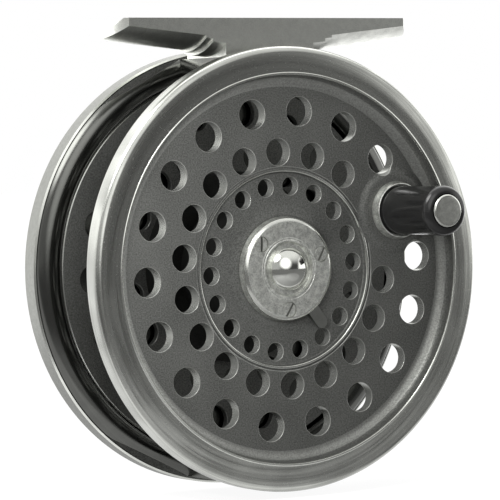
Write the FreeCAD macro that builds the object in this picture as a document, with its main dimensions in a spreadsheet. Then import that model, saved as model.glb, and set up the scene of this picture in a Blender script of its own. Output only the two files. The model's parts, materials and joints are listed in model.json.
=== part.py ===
"""Fly reel: a caged frame with a foot, a perforated exposed-rim spool, a handle, a spool latch and
a two-pawl click with a regulator.

Every piece is drawn about the spool's own axis: X to the right, Y from the handle side to the back
plate, Z up, with the perforated face of the spool at y = 0.  The Placement of each piece then moves
it so that the origin is the middle of the foot's seat, where the reel is held on a rod.
Millimetres throughout.
"""
import FreeCAD, Part
import Sketcher
import math
import os
import re

V = FreeCAD.Vector

# Driving dimensions: alias -> (value, meaning)
SIZES = {
    # where the foot's seat lies, seen from the spool's axis
    "foot_top": (52.0, "height of the foot's seat above the spool axis"),
    "foot_front": (4.25, "y of the foot's near edge"),
    "foot_width": (16.0, "width of the foot across the rod"),
    "foot_length": (72.6, "length of the foot along the rod, over its rounded ends"),
    "foot_round": (12.2, "radius of the foot's ends, seen from above"),
    "foot_block": (10.5, "half length of the foot's centre block"),
    "foot_drop": (8.0, "height of the centre block below the seat"),
    "trough_radius": (10.5, "radius of the hollow that takes the rod"),
    "trough_depth": (2.75, "depth of that hollow"),
    "keel_radius": (12.7, "radius of the arms' underside"),
    "keel_depth": (4.2, "depth of the arms at their ends"),
    "arm_slope": (6.0, "slope of the arms' underside, degrees"),
    # spool, front
    "rim_radius": (46.0, "outside radius of the spool's rim"),
    "rim_front": (3.2, "how far the rim stands in front of the perforated face"),
    "rim_round": (1.3, "rounding of the rim's outer edge"),
    "rim_skirt": (1.3, "how far the rim reaches behind the perforated face"),
    "skirt_inside": (44.8, "inside radius of the rim's skirt"),
    "channel_inside": (41.7, "inner radius of the channel behind the rim"),
    "channel_depth": (1.4, "how far the channel reaches in front of the perforated face"),
    "lip_radius": (40.0, "radius of the rim's sharp inner lip"),
    "cove_round": (2.35, "cove between the lip's wall and the perforated face"),
    "web_edge": (1.6, "back of the perforated web where it meets the rim"),
    "web_outer": (2.3, "back of the perforated web at the outer holes"),
    "web_inner": (3.3, "back of the perforated web at the drum"),
    "step_radius": (20.2, "edge of the recessed centre of the web"),
    "recess": (0.93, "depth of that recess"),
    "groove_radius": (20.75, "inner radius of the fine groove round the recess"),
    "groove_width": (0.35, "width of the fine groove"),
    "seat_radius": (11.2, "radius of the hub cap's seat"),
    "seat_level": (0.55, "y of the hub cap's seat"),
    "bush_radius": (4.6, "outside radius of the spool's bush"),
    # perforation
    "ring_a": (32.75, "radius of the outer ring of holes"),
    "hole_a": (3.08, "radius of the outer holes"),
    "start_a": (2.755, "angle of the first outer hole"),
    "ring_b": (24.2, "radius of the middle ring of holes"),
    "hole_b": (2.83, "radius of the middle holes"),
    "start_b": (-7.22, "angle of the first middle hole"),
    "ring_c": (17.24, "radius of the inner ring of holes"),
    "hole_c": (1.885, "radius of the inner holes"),
    "start_c": (2.8, "angle of the first inner hole"),
    "hole_step": (20.0, "angle between holes of a ring"),
    # spool, drum and back
    "drum_radius": (13.5, "outside radius of the drum"),
    "drum_bore": (11.5, "inside radius of the drum"),
    "cup_front": (19.6, "y of the front of the gear cup"),
    "cup_floor": (1.2, "thickness of the gear cup's floor"),
    "cup_radius": (20.2, "outside radius of the gear cup"),
    "cup_bore": (19.0, "inside radius of the gear cup"),
    "flange_front": (22.9, "y of the rear flange's face"),
    "flange_thick": (1.5, "thickness of the rear flange"),
    "flange_radius": (40.1, "radius of the rear flange"),
    # frame
    "frame_back": (28.3, "y of the back of the frame"),
    "frame_step": (23.7, "y of the frame's outer band"),
    "band_inner": (45.4, "radius where the frame's rounded shoulder starts"),
    "crest_radius": (42.5, "radius of the shoulder's crest"),
    "crest_front": (21.9, "y of the shoulder's crest"),
    "mouth_radius": (40.6, "radius of the hole that the rear flange turns in"),
    "mouth_front": (22.4, "y of the mouth's edge"),
    "floor_level": (25.3, "y of the back plate's inner floor"),
    "ring_outer": (44.3, "outside radius of the front ring"),
    "ring_inner": (42.4, "inside radius of the front ring"),
    "ring_front": (-0.7, "y of the front ring's front"),
    "ring_back": (2.6, "y of the front ring's back"),
    "saddle_top": (44.0, "height of the flat that the foot sits on"),
    "saddle_half": (10.7, "half width of the saddle"),
    "saddle_front": (1.9, "y of the saddle's front"),
    "saddle_inner": (41.1, "radius of the saddle's inner face"),
    "flat_angle": (130.0, "angle where the shoulder's flat up to the saddle starts"),
    # spindle
    "spindle_radius": (3.175, "radius of the spindle"),
    "spindle_tip": (-0.75, "y of the spindle's tip"),
    "spindle_foot": (5.5, "radius of the spindle's flange"),
    "tail_radius": (2.5, "radius of the spindle's tail in the back plate"),
    "run_gap": (0.03, "radial play of running fits"),
    "notch_radius": (2.45, "radius of the latch groove in the spindle"),
    # hub
    "cap_radius": (10.87, "radius of the hub cap"),
    "cap_front": (1.59, "how far the cap stands in front of the perforated face"),
    "cap_round": (0.8, "bevel of the cap's edge"),
    "eye_radius": (5.6, "radius of the recess round the dome"),
    "eye_depth": (0.7, "depth of that recess"),
    "dome_radius": (4.4, "radius of the dome's base"),
    "dome_ball": (5.2, "radius of the dome's curve"),
    "dome_base": (-2.03, "y of the dome's base"),
    "screw_circle": (8.4, "radius of the circle of cap screws"),
    # latch
    "latch_front": (-0.3, "y of the latch lever's front"),
    "latch_thick": (0.7, "thickness of the latch lever"),
    "latch_reach": (15.5, "how far the latch's tongue reaches from the axis"),
    "latch_angle": (-53.0, "direction of the latch's tongue"),
    "latch_half": (1.35, "half width of the tongue"),
    "pivot_height": (6.5, "height of the latch's pivot above the axis"),
    "latch_offset": (0.72, "how far the latch's eye is off centre when locked"),
    # handle
    "handle_circle": (29.65, "radius of the handle's circle"),
    "handle_angle": (22.6, "angle of the handle"),
    "boss_radius": (7.2, "radius of the boss under the handle"),
    "boss_height": (0.6, "height of that boss"),
    "grip_radius": (5.2, "radius of the grip"),
    "grip_waist": (5.05, "radius of the grip's waist"),
    "grip_front": (19.6, "how far the grip stands in front of the perforated face"),
    "pin_radius": (1.6, "radius of the handle's pin"),
    "pin_head": (3.4, "radius of the pin's head"),
    # click
    "gear_tip": (9.0, "tip radius of the ratchet wheel"),
    "gear_root": (8.2, "root radius of the ratchet wheel"),
    "gear_thick": (2.3, "thickness of the ratchet wheel"),
    "gear_teeth": (24.0, "teeth of the ratchet wheel"),
    "plate_front": (24.3, "y of the click plate's front"),
    "plate_radius": (17.6, "radius of the click plate"),
    "post_radius": (1.0, "radius of the click posts"),
    "pawl_x": (12.2, "sideways place of the pawls' pivots"),
    "pawl_z": (6.0, "height of the pawls' pivots"),
    "pawl_front": (21.3, "y of the pawls' front"),
    "pawl_thick": (1.8, "thickness of the pawls"),
    "spring_x": (12.8, "sideways place of the spring posts"),
    "spring_z": (-9.9, "height of the spring posts"),
    "knob_height": (-13.3, "height of the regulator's axis"),
    "knob_radius": (5.0, "radius of the regulator's knob"),
    "knob_depth": (3.6, "thickness of the regulator's knob"),
    "cam_reach": (5.0, "half length of the regulator's cam"),
}

doc = FreeCAD.newDocument("FlyReel")
sheet = doc.addObject("Spreadsheet::Sheet", "Sizes")
for row, (alias, (value, note)) in enumerate(SIZES.items(), start=1):
    sheet.set("A%d" % row, alias)
    sheet.set("B%d" % row, str(value))
    sheet.setAlias("B%d" % row, alias)
    sheet.set("C%d" % row, note)
doc.recompute()

PARTS = []


def bound(text):
    """The expression with each alias turned into a reference to the sheet."""
    return re.sub(r"[a-z_]+", lambda m: "Sizes." + m[0] if m[0] in SIZES else m[0], text)


def number(text):
    """The value of an expression in the sheet's aliases."""
    value = sheet.evalExpression(text)
    return float(getattr(value, "Value", value))


def bind(thing, **sizes):
    """Tie properties of a feature to the sheet."""
    for name, text in sizes.items():
        thing.setExpression(name.replace("__", "."), bound(text))


def hand_in(thing, label):
    """Name a finished piece and move it from the spool's axis to the foot's seat."""
    thing.Label = label
    bind(thing, Placement__Base__y="-(foot_front + foot_width / 2)", Placement__Base__z="-foot_top")
    PARTS.append(thing)
    return thing


# ---------------------------------------------------------------- sketches


def plane_of(body, role):
    return next(f for f in body.Origin.OriginFeatures if f.Role == role)


def new_sketch(body, name, role, lift="0"):
    sketch = body.newObject("Sketcher::SketchObject", name)
    sketch.AttachmentSupport = (plane_of(body, role), "")
    sketch.MapMode = "FlatFace"
    bind(sketch, AttachmentOffset__Base__z=lift)
    return sketch


def arc_between(start, end, radius, left):
    """Arc from start to end; left says on which side of the chord the centre lies."""
    chord = end - start
    side = V(-chord.y, chord.x, 0).normalize() * (1 if left else -1)
    rise = math.sqrt(max(radius ** 2 - (chord.Length / 2) ** 2, 0))
    centre = (start + end) * 0.5 + side * rise
    first, last = (start, end) if left else (end, start)
    angles = [math.atan2(p.y - centre.y, p.x - centre.x) for p in (first, last)]
    return Part.ArcOfCircle(Part.Circle(centre, V(0, 0, 1), radius), *angles)


def outline(sketch, corners):
    """Closed outline.  A corner is (x, y), or (x, y, radius, left) when an arc leads to the next."""
    points = [V(number(c[0]), number(c[1]), 0) for c in corners]
    ends = []
    for i, corner in enumerate(corners):
        start, end = points[i], points[(i + 1) % len(points)]
        if len(corner) == 2:
            sketch.addGeometry(Part.LineSegment(start, end), False)
            ends.append((1, 2))
        else:
            left = corner[3]
            sketch.addGeometry(arc_between(start, end, number(corner[2]), left), False)
            ends.append((1, 2) if left else (2, 1))
    for i, corner in enumerate(corners):
        after = (i + 1) % len(corners)
        sketch.addConstraint(Sketcher.Constraint("Coincident", i, ends[i][1], after, ends[after][0]))
        for kind, axis, text in (("DistanceX", -2, corner[0]), ("DistanceY", -1, corner[1])):
            if text == "0":
                sketch.addConstraint(Sketcher.Constraint("PointOnObject", i, ends[i][0], axis))
                continue
            size = Sketcher.Constraint(kind, -1, 1, i, ends[i][0], number(text))
            index = sketch.addConstraint(size)
            sketch.setExpression("Constraints[%d]" % index, bound(text))
        if len(corner) == 4:
            index = sketch.addConstraint(Sketcher.Constraint("Radius", i, number(corner[2])))
            sketch.setExpression("Constraints[%d]" % index, bound(corner[2]))


def ring_sketch(sketch, x, y, radius):
    """One circle, placed and sized from the sheet."""
    centre = V(number(x), number(y), 0)
    index = sketch.addGeometry(Part.Circle(centre, V(0, 0, 1), number(radius)), False)
    for kind, text in (("DistanceX", x), ("DistanceY", y)):
        if text == "0":
            axis = -2 if kind == "DistanceX" else -1
            sketch.addConstraint(Sketcher.Constraint("PointOnObject", index, 3, axis))
            continue
        size = sketch.addConstraint(Sketcher.Constraint(kind, -1, 1, index, 3, number(text)))
        sketch.setExpression("Constraints[%d]" % size, bound(text))
    size = sketch.addConstraint(Sketcher.Constraint("Radius", index, number(radius)))
    sketch.setExpression("Constraints[%d]" % size, bound(radius))


# ---------------------------------------------------------------- body features


def new_body(name):
    return doc.addObject("PartDesign::Body", name)


def turn(body, name, corners):
    """Turn an outline of (radius, y) corners about the spool's axis."""
    sketch = new_sketch(body, name + "_outline", "XY_Plane")
    outline(sketch, corners)
    solid = body.newObject("PartDesign::Revolution", name)
    solid.Profile = sketch
    solid.ReferenceAxis = (sketch, ["V_Axis"])
    solid.Angle = 360
    doc.recompute()
    return solid


def pad(body, name, corners, front, depth, role="XZ_Plane"):
    """Pad an outline in x and z from y = front back to y = front + depth."""
    sketch = new_sketch(body, name + "_outline", role, "-(%s)" % front)
    outline(sketch, corners)
    solid = body.newObject("PartDesign::Pad", name)
    solid.Profile = sketch
    solid.Reversed = True
    bind(solid, Length=depth)
    doc.recompute()
    return solid


def cut_down(before, body, name):
    """A pocket that missed its solid would show no error, so compare the volumes."""
    doc.recompute()
    if body.Shape.Volume >= before - 1e-3:
        raise RuntimeError(name + " removed nothing")


def bore(body, name, x, z, radius, front, depth):
    """Round pocket along +Y from y = front."""
    before = body.Shape.Volume
    sketch = new_sketch(body, name + "_circle", "XZ_Plane", "-(%s)" % front)
    ring_sketch(sketch, x, z, radius)
    cut = body.newObject("PartDesign::Pocket", name)
    cut.Profile = sketch
    bind(cut, Length=depth)
    cut_down(before, body, name)
    return cut


def pattern(body, feature, name, count, span):
    """Copies of a feature turned about the spool's axis, clockwise as seen from the handle side."""
    copies = body.newObject("PartDesign::PolarPattern", name)
    copies.Originals = [feature]
    copies.Axis = (plane_of(body, "Y_Axis"), [""])
    bind(copies, Occurrences=count, Angle=span)
    body.Tip = copies
    doc.recompute()
    return copies


def hole_ring(body, ring, missing, front="-5", depth="40"):
    """One ring of holes of the perforation; missing is how many places before the first are blank."""
    x = "ring_%s * cos(start_%s)" % (ring, ring)
    z = "ring_%s * sin(start_%s)" % (ring, ring)
    first = bore(body, "Hole_" + ring, x, z, "hole_" + ring, front, depth)
    if missing:
        pattern(body, first, "Ring_" + ring, "18 - %d" % missing, "hole_step * (17 - %d)" % missing)
    else:
        pattern(body, first, "Ring_" + ring, "18", "360")


# ---------------------------------------------------------------- primitives


def cylinder(name, radius, front, back, x="0", z="0"):
    """Cylinder about a line along Y, from y = front to y = back."""
    rod = doc.addObject("Part::Cylinder", name)
    rod.Placement.Rotation = FreeCAD.Rotation(V(1, 0, 0), -90)
    bind(rod, Radius=radius, Height="(%s) - (%s)" % (back, front))
    bind(rod, Placement__Base__x=x, Placement__Base__y=front, Placement__Base__z=z)
    return rod


def block(name, x, y, z, length, width, height):
    """Box from its lowest corner."""
    brick = doc.addObject("Part::Box", name)
    bind(brick, Length=length, Width=width, Height=height)
    bind(brick, Placement__Base__x=x, Placement__Base__y=y, Placement__Base__z=z)
    return brick


def join(name, *pieces):
    whole = doc.addObject("Part::MultiFuse", name)
    whole.Shapes = list(pieces)
    return whole


def cut_away(name, base, *tools):
    rest = doc.addObject("Part::Cut", name)
    rest.Base = base
    rest.Tool = tools[0] if len(tools) == 1 else join(name + "_tools", *tools)
    return rest


def group(name, pieces):
    several = doc.addObject("Part::Compound", name)
    several.Links = pieces
    return several


FRONT = FreeCAD.Rotation(V(1, 0, 0), 90)
REAR = FreeCAD.Rotation(V(1, 0, 0), -90)
UP = FreeCAD.Rotation()


def slotted_screw(name, head, head_depth, shank, length, facing, slot_turn, x, y, z):
    """Cheese-head screw whose head's top stands at (x, y, z) and faces FRONT, REAR or UP."""
    top = doc.addObject("Part::Cylinder", name + "_head")
    bind(top, Radius=head, Height=head_depth, Placement__Base__z="-(%s)" % head_depth)
    stem = doc.addObject("Part::Cylinder", name + "_shank")
    bind(stem, Radius=shank, Height="(%s) - (%s)" % (length, head_depth))
    bind(stem, Placement__Base__z="-(%s)" % length)
    slot_depth = "(%s) * 0.55" % head_depth
    slot = block(name + "_slot", "-2 * (%s)" % head, "-0.2", "-" + slot_depth,
                 "4 * (%s)" % head, "0.4", "(%s) * 2" % head_depth)
    screw = cut_away(name, join(name + "_body", top, stem), slot)
    screw.Placement.Rotation = facing * FreeCAD.Rotation(V(0, 0, 1), slot_turn)
    bind(screw, Placement__Base__x=x, Placement__Base__y=y, Placement__Base__z=z)
    return screw


def polar(radius, angle, aside="0"):
    """The x and z expressions of a point, with a step aside clockwise as seen from the front."""
    x = "(%s) * cos(%s) + (%s) * sin(%s)" % (radius, angle, aside, angle)
    z = "(%s) * sin(%s) - (%s) * cos(%s)" % (radius, angle, aside, angle)
    return x, z


# ---------------------------------------------------------------- frame

PLATE_SCREWS = ("15.3 * cos(60)", "15.3 * sin(60)")
FOOT_SCREW_X = "5.5"
FOOT_MIDDLE = "foot_front + foot_width / 2"


def frame():
    """Back plate, shouldered ring, saddle, lower bridge and front ring: one casting."""
    body = new_body("Frame")
    turn(body, "Back", [
        ("tail_radius", "floor_level"),
        ("mouth_radius", "floor_level"),
        ("mouth_radius", "mouth_front"),
        ("crest_radius", "crest_front", "6.5", True),
        ("band_inner", "frame_step"),
        ("rim_radius - 0.4", "frame_step"),
        ("rim_radius", "frame_step + 0.4"),
        ("rim_radius", "frame_back - 0.5"),
        ("rim_radius - 0.5", "frame_back"),
        ("rim_radius - 6", "frame_back"),
        ("rim_radius - 6.6", "frame_back - 0.6"),
        ("7.6", "frame_back - 0.6"),
        ("7", "frame_back"),
        ("tail_radius + 2", "frame_back"),
        ("tail_radius", "frame_back - 1.4"),
    ])
    saddle_low = "sqrt(saddle_inner ^ 2 - saddle_half ^ 2)"
    saddle = pad(body, "Saddle", [
        ("-saddle_half", "saddle_top"),
        ("-saddle_half", saddle_low, "saddle_inner", False),
        ("saddle_half", saddle_low),
        ("saddle_half", "saddle_top"),
    ], "saddle_front", "frame_step + 0.5 - saddle_front")
    outer_x, outer_z = polar("band_inner", "flat_angle")
    before = body.Shape.Volume
    sketch = new_sketch(body, "Flat_outline", "XZ_Plane", "-(crest_front - 1)")
    outline(sketch, [
        (outer_x, outer_z),
        ("-saddle_half", "saddle_top"),
        ("saddle_half", "saddle_top"),
        ("-(%s)" % outer_x, outer_z),
        ("-(%s)" % outer_x, "rim_radius + 2"),
        (outer_x, "rim_radius + 2"),
    ])
    flat = body.newObject("PartDesign::Pocket", "Flat")
    flat.Profile = sketch
    bind(flat, Length="frame_step - crest_front + 1")
    cut_down(before, body, "Flat")
    lower = body.newObject("PartDesign::Mirrored", "Lower_bridge")
    lower.Originals = [saddle, flat]
    lower.MirrorPlane = (plane_of(body, "XY_Plane"), [""])
    body.Tip = lower
    doc.recompute()
    turn(body, "Front_ring", [
        ("ring_inner", "ring_front"),
        ("ring_outer", "ring_front"),
        ("ring_outer", "ring_back"),
        ("ring_inner", "ring_back"),
    ])
    bore(body, "Regulator_hole", "0", "knob_height", "2.05", "20", "10")
    screw_hole = bore(body, "Plate_screw_hole", *PLATE_SCREWS, "0.75", "floor_level - 1", "2.6")
    pattern(body, screw_hole, "Plate_screw_holes", "3", "360")
    for side in (-1, 1):
        name = "Foot_screw_hole_%d" % (side + 1)
        before = body.Shape.Volume
        sketch = new_sketch(body, name + "_circle", "XY_Plane", "saddle_top + 1")
        ring_sketch(sketch, "%d * %s" % (side, FOOT_SCREW_X), FOOT_MIDDLE, "1.22")
        hole = body.newObject("PartDesign::Pocket", name)
        hole.Profile = sketch
        bind(hole, Length="8")
        cut_down(before, body, name)
    return hand_in(body, "frame")


def foot():
    """Hollow-topped foot: two tapering arms and a centre block."""
    bar = block("Foot_bar", "-foot_length / 2", "foot_front", "foot_top - foot_drop",
                "foot_length", "foot_width", "foot_drop")
    middle = block("Foot_middle", "foot_round - foot_length / 2", "foot_front - 5",
                   "foot_top - foot_drop", "foot_length - 2 * foot_round", "foot_width + 10",
                   "foot_drop")
    rounds = [middle]
    for side in (-1, 1):
        tip = doc.addObject("Part::Cylinder", "Foot_end_%d" % (side + 1))
        bind(tip, Radius="foot_round", Height="foot_drop",
             Placement__Base__x="%d * (foot_length / 2 - foot_round)" % side,
             Placement__Base__y=FOOT_MIDDLE, Placement__Base__z="foot_top - foot_drop")
        rounds.append(tip)
    base = doc.addObject("Part::MultiCommon", "Foot_plan")
    base.Shapes = [bar, join("Foot_rounds", *rounds)]
    trough = doc.addObject("Part::Cylinder", "Foot_trough")
    trough.Placement.Rotation = FreeCAD.Rotation(V(0, 1, 0), 90)
    bind(trough, Radius="trough_radius", Height="foot_length + 2")
    bind(trough, Placement__Base__x="-foot_length / 2 - 1", Placement__Base__y=FOOT_MIDDLE,
         Placement__Base__z="foot_top + trough_radius - trough_depth")
    tools = [trough]
    for side in (-1, 1):
        name = "Arm_%d" % (side + 1)
        start = "foot_block" if side > 0 else "-foot_length"
        room = block(name + "_room", start, "foot_front - 1", "foot_top - foot_drop - 4",
                     "foot_length - foot_block", "foot_width + 2", "foot_drop + 3")
        keel = doc.addObject("Part::Cylinder", name + "_keel")
        keel.Placement.Rotation = FreeCAD.Rotation(V(0, 1, 0), -side * (90 + number("arm_slope")))
        bind(keel, Radius="keel_radius", Height="foot_length")
        bind(keel, Placement__Base__y=FOOT_MIDDLE)
        bind(keel, Placement__Base__x="%d * (foot_length / 2 + 5)" % side)
        bind(keel, Placement__Base__z="foot_top - keel_depth + keel_radius / cos(arm_slope)"
                                      " + 5 * tan(arm_slope)")
        tools.append(cut_away(name, room, keel))
    for side in (-1, 1):
        name = "Foot_screw_seat_%d" % (side + 1)
        for step, radius, low in (("shank", "1.22", "foot_top - foot_drop - 1"),
                                  ("head", "2.32", "foot_top - trough_depth - 1.5")):
            drill = doc.addObject("Part::Cylinder", "%s_%s" % (name, step))
            bind(drill, Radius=radius, Height="12", Placement__Base__z=low,
                 Placement__Base__x="%d * %s" % (side, FOOT_SCREW_X),
                 Placement__Base__y=FOOT_MIDDLE)
            tools.append(drill)
    return hand_in(cut_away("Foot", base, *tools), "foot")


def foot_screws():
    screws = [slotted_screw("Foot_screw_%d" % (side + 1), "2.3", "1.3", "1.2", "8.2", UP, 0,
                            "%d * %s" % (side, FOOT_SCREW_X), FOOT_MIDDLE,
                            "foot_top - trough_depth - 0.2") for side in (-1, 1)]
    return hand_in(group("Foot_screws", screws), "foot_screws")


# ---------------------------------------------------------------- spindle


def spindle():
    """Fixed post that the spool turns on, with a groove for the latch and a flange at its foot."""
    body = new_body("Spindle")
    latch_back = "latch_front + latch_thick"
    turn(body, "Post", [
        ("0", "spindle_tip"),
        ("spindle_radius - 0.4", "spindle_tip"),
        ("spindle_radius - 0.1", "latch_front - 0.3"),
        ("spindle_radius - 0.1", "latch_front - 0.08"),
        ("notch_radius", "latch_front - 0.08"),
        ("notch_radius", latch_back + " + 0.08"),
        ("spindle_radius", latch_back + " + 0.08"),
        ("spindle_radius", "floor_level - 1.5"),
        ("spindle_foot", "floor_level - 1.5"),
        ("spindle_foot", "floor_level"),
        ("tail_radius", "floor_level"),
        ("tail_radius", "frame_back - 1.4"),
        ("1.2", "frame_back - 1.4"),
        ("1.2", "frame_back - 8"),
        ("0", "frame_back - 8"),
    ])
    return hand_in(body, "spindle")


def spindle_screw():
    """Countersunk screw that holds the spindle from behind."""
    head = doc.addObject("Part::Cone", "Spindle_screw_head")
    head.Placement.Rotation = REAR
    bind(head, Radius1="tail_radius", Radius2="tail_radius + 1.9", Height="1.35",
         Placement__Base__y="frame_back - 1.4")
    stem = cylinder("Spindle_screw_shank", "1.2", "frame_back - 7", "frame_back - 1.4")
    slot = block("Spindle_screw_slot", "-6", "frame_back - 0.7", "-0.35", "12", "2", "0.7")
    return hand_in(cut_away("Spindle_screw", join("Spindle_screw_body", head, stem), slot),
                   "spindle_screw")


# ---------------------------------------------------------------- spool


def handle_place():
    return polar("handle_circle", "handle_angle")


def disc(body, name, x, z, radius, front, depth):
    """Round pad along +Y from y = front."""
    sketch = new_sketch(body, name + "_circle", "XZ_Plane", "-(%s)" % front)
    ring_sketch(sketch, x, z, radius)
    solid = body.newObject("PartDesign::Pad", name)
    solid.Profile = sketch
    solid.Reversed = True
    bind(solid, Length=depth)
    doc.recompute()
    return solid


CAP_SCREW_ANGLES = (141, 20, -90)


def spool_face():
    """Perforated front web with the exposed rim."""
    body = new_body("Spool_face")
    turn(body, "Web", [
        ("bush_radius", "seat_level"),
        ("seat_radius", "seat_level"),
        ("seat_radius + 3.6", "recess"),
        ("step_radius - 0.3", "recess"),
        ("step_radius + 0.3", "0"),
        ("groove_radius", "0"),
        ("groove_radius", "0.25"),
        ("groove_radius + groove_width", "0.25"),
        ("groove_radius + groove_width", "0"),
        ("lip_radius - cove_round", "0", "cove_round", False),
        ("lip_radius", "-cove_round"),
        ("lip_radius", "-rim_front"),
        ("rim_radius - rim_round", "-rim_front", "rim_round", True),
        ("rim_radius", "rim_round - rim_front"),
        ("rim_radius", "rim_skirt"),
        ("skirt_inside", "rim_skirt"),
        ("skirt_inside", "-channel_depth"),
        ("channel_inside", "-channel_depth"),
        ("channel_inside", "web_edge"),
        ("ring_a + 4.5", "web_outer"),
        ("drum_radius", "web_inner"),
        ("bush_radius", "web_inner"),
    ])
    x, z = handle_place()
    disc(body, "Handle_boss", x, z, "boss_radius", "-boss_height", "boss_height + 1")
    bore(body, "Handle_hole", x, z, "pin_radius", "-5", "12")
    for angle in CAP_SCREW_ANGLES:
        place = polar("screw_circle", str(angle))
        bore(body, "Cap_screw_hole_%d" % (angle % 360), *place, "0.85", "0", "2.2")
    bore(body, "Pivot_hole", "0", "pivot_height", "0.7", "0", "1.8")
    hole_ring(body, "a", 1)
    hole_ring(body, "b", 2)
    hole_ring(body, "c", 0)
    return hand_in(body, "spool_face")


def spool_drum():
    body = new_body("Spool_drum")
    turn(body, "Drum", [
        ("drum_bore", "web_inner"),
        ("drum_radius", "web_inner"),
        ("drum_radius", "cup_front"),
        ("drum_bore", "cup_front"),
    ])
    return hand_in(body, "spool_drum")


def gear_cup():
    """Dished middle of the spool's back, with the ratchet wheel inside it."""
    body = new_body("Gear_cup")
    turn(body, "Cup", [
        ("bush_radius", "cup_front"),
        ("cup_radius", "cup_front"),
        ("cup_radius", "flange_front + flange_thick"),
        ("cup_bore", "flange_front + flange_thick"),
        ("cup_bore", "cup_front + cup_floor"),
        ("bush_radius", "cup_front + cup_floor"),
    ])
    hole = bore(body, "Gear_screw_hole", "6.6", "0", "0.6", "cup_front - 1", "4")
    pattern(body, hole, "Gear_screw_holes", "3", "360")
    return hand_in(body, "gear_cup")


def rear_flange():
    body = new_body("Rear_flange")
    turn(body, "Flange", [
        ("cup_radius", "flange_front"),
        ("flange_radius - 0.3", "flange_front"),
        ("flange_radius", "flange_front + 0.3"),
        ("flange_radius", "flange_front + flange_thick"),
        ("cup_radius", "flange_front + flange_thick"),
    ])
    for ring in "ab":
        hole_ring(body, ring, 0, "flange_front - 1", "5")
    return hand_in(body, "spool_rear_flange")


def spool_bush():
    body = new_body("Spool_bush")
    inner = "spindle_radius + run_gap"
    turn(body, "Bush", [
        (inner, "seat_level"),
        ("bush_radius", "seat_level"),
        ("bush_radius", "floor_level - 1.6"),
        (inner, "floor_level - 1.6"),
    ])
    return hand_in(body, "spool_bush")


def ratchet_wheel():
    body = new_body("Ratchet_wheel")
    front = "cup_front + cup_floor"
    turn(body, "Wheel", [
        ("bush_radius + 0.1", front),
        ("gear_tip", front),
        ("gear_tip", front + " + gear_thick"),
        ("bush_radius + 0.1", front + " + gear_thick"),
    ])
    before = body.Shape.Volume
    sketch = new_sketch(body, "Notch_outline", "XZ_Plane", "-(%s - 1)" % front)
    flank = "(gear_tip - gear_root) * 1.5"
    outline(sketch, [
        ("gear_root", "0"),
        ("gear_root + " + flank, flank + " * 1.2"),
        ("gear_root + " + flank, "-%s * 1.2" % flank),
    ])
    notch = body.newObject("PartDesign::Pocket", "Notch")
    notch.Profile = sketch
    bind(notch, Length="gear_thick + 2")
    cut_down(before, body, "Notch")
    pattern(body, notch, "Teeth", "gear_teeth", "360")
    hole = bore(body, "Wheel_screw_hole", "6.6", "0", "0.6", front + " - 1", "6")
    seat = bore(body, "Wheel_screw_seat", "6.6", "0", "1.12", front + " + gear_thick - 0.62", "3")
    copies = pattern(body, hole, "Wheel_screw_holes", "3", "360")
    copies.Originals = [hole, seat]
    return hand_in(body, "ratchet_wheel")


def ratchet_screws():
    screws = []
    for i in range(3):
        x, z = polar("6.6", str(120 * i))
        screws.append(slotted_screw("Ratchet_screw_%d" % i, "1.1", "0.6", "0.6", "3.4", REAR, 30 * i,
                                    x, "cup_front + cup_floor + gear_thick", z))
    return hand_in(group("Ratchet_screws", screws), "ratchet_screws")


# ---------------------------------------------------------------- hub and latch


def hub_cap():
    body = new_body("Hub_cap")
    turn(body, "Cap", [
        ("dome_radius - 0.9", "eye_depth - cap_front"),
        ("eye_radius", "eye_depth - cap_front"),
        ("eye_radius", "-cap_front"),
        ("cap_radius - cap_round", "-cap_front"),
        ("cap_radius", "cap_round - cap_front"),
        ("cap_radius", "seat_level - 0.2"),
        ("cap_radius - 0.5", "seat_level"),
        ("dome_radius - 0.9", "seat_level"),
    ])
    room = "latch_front - 0.1"
    bore(body, "Latch_room", "0", "0", "6.3", room, "2")
    bore(body, "Pivot_room", "0", "pivot_height", "1.9", room, "2")
    before = body.Shape.Volume
    sketch = new_sketch(body, "Tongue_room_outline", "XZ_Plane", "-(%s)" % room)
    outline(sketch, [
        polar("4.5", "latch_angle", "-1.65"),
        polar("12", "latch_angle", "-1.65"),
        polar("12", "latch_angle", "3.7"),
        polar("4.5", "latch_angle", "3.7"),
    ])
    tongue_room = body.newObject("PartDesign::Pocket", "Tongue_room")
    tongue_room.Profile = sketch
    bind(tongue_room, Length="2")
    cut_down(before, body, "Tongue_room")
    bore(body, "Pivot_seat", "0", "pivot_height", "0.7", "-1.1", "2")
    for angle in CAP_SCREW_ANGLES:
        place = polar("screw_circle", str(angle))
        bore(body, "Cap_bore_%d" % (angle % 360), *place, "0.87", "-3", "5")
        bore(body, "Cap_seat_%d" % (angle % 360), *place, "1.54", "-3", "3 - cap_front + 0.62")
    return hand_in(body, "hub_cap")


def cap_screws():
    screws = []
    for angle, slot_turn in zip(CAP_SCREW_ANGLES, (88, 62, 58)):
        x, z = polar("screw_circle", str(angle))
        screws.append(slotted_screw("Cap_screw_%d" % (angle % 360), "1.52", "0.6", "0.85", "3.7",
                                    FRONT, slot_turn, x, "-cap_front", z))
    return hand_in(group("Cap_screws", screws), "cap_screws")


def hub_dome():
    body = new_body("Hub_dome")
    turn(body, "Dome", [
        ("0", "dome_base - dome_ball + sqrt(dome_ball ^ 2 - dome_radius ^ 2)", "dome_ball", True),
        ("dome_radius", "dome_base"),
        ("dome_radius", "eye_depth - cap_front"),
        ("0", "eye_depth - cap_front"),
    ])
    return hand_in(body, "hub_dome")


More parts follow.
